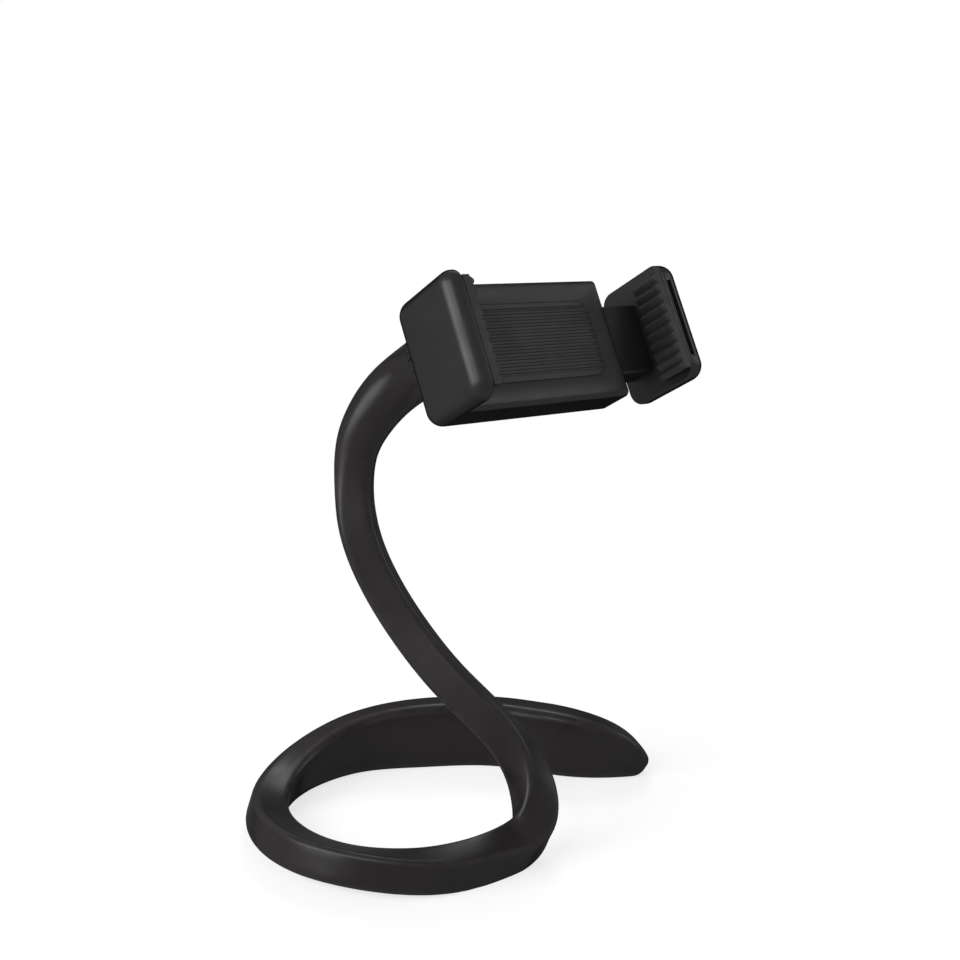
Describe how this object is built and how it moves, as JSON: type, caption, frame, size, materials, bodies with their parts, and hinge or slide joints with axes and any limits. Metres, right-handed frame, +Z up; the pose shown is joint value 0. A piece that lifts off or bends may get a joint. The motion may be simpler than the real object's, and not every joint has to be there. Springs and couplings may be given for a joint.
{
  "type": "bendable phone stand",
  "caption": "Bendable rubber-jacketed arm, coiled flat at its tail as a foot and bowed up to a sprung clamp with ribbed jaws on a ball joint, for holding a phone upright.",
  "frame": {"origin": "on the floor, under the middle of the part's box", "axes": "+Z up, +X across the clamp towards its sliding jaw, and the clamp faces -Y, leaning back"},
  "size_m": [0.1396, 0.1006, 0.1733],
  "materials": {
    "arm_rubber": "matte",
    "clamp_plastic": "satin",
    "pad_rubber": "matte",
    "core_wire": "satin",
    "stud_metal": "black anodised",
    "screw_steel": "plain",
    "spring_steel": "plain"
  },
  "bodies": {
    "arm": {"arm_jacket": "arm_rubber", "arm_core": "core_wire"},
    "neck": {"ball_stud": "stud_metal"},
    "clamp": {"clamp_body": "clamp_plastic", "rear_cover": "clamp_plastic", "cover_screws": "screw_steel", "rest_pad": "pad_rubber", "fixed_jaw_pad": "pad_rubber", "fixed_spring_pin": "screw_steel", "upper_spring": "spring_steel", "lower_spring": "spring_steel"},
    "ring": {"lock_ring": "clamp_plastic"},
    "slider": {"sliding_jaw": "clamp_plastic", "sliding_jaw_pad": "pad_rubber", "sliding_spring_pin": "screw_steel"}
  },
  "joints": [
    {"name": "arm_bend", "type": "hinge", "parent": "arm", "child": "neck", "pos_m": [-0.02152, 0.02097, 0.1], "axis": [1, 0, 0], "range_deg": [-25, 25], "deforming": ["arm_jacket", "arm_core"]},
    {"name": "clamp_swivel", "type": "hinge", "parent": "neck", "child": "clamp", "pos_m": [-0.00802, -0.006, 0.14873], "axis": [0, 0.8934, -0.4493], "continuous": true},
    {"name": "ring_turn", "type": "hinge", "parent": "clamp", "child": "ring", "pos_m": [-0.00802, -0.006, 0.14873], "axis": [0, 0.8934, -0.4493], "range_deg": [0, 90]},
    {"name": "jaw_slide", "type": "slide", "parent": "clamp", "child": "slider", "axis": [1, 0, 0], "range_m": [-0.0155, 0.0145], "stiffness_N_per_m": 150, "springref_m": -0.035, "deforming": ["upper_spring", "lower_spring"]}
  ]
}
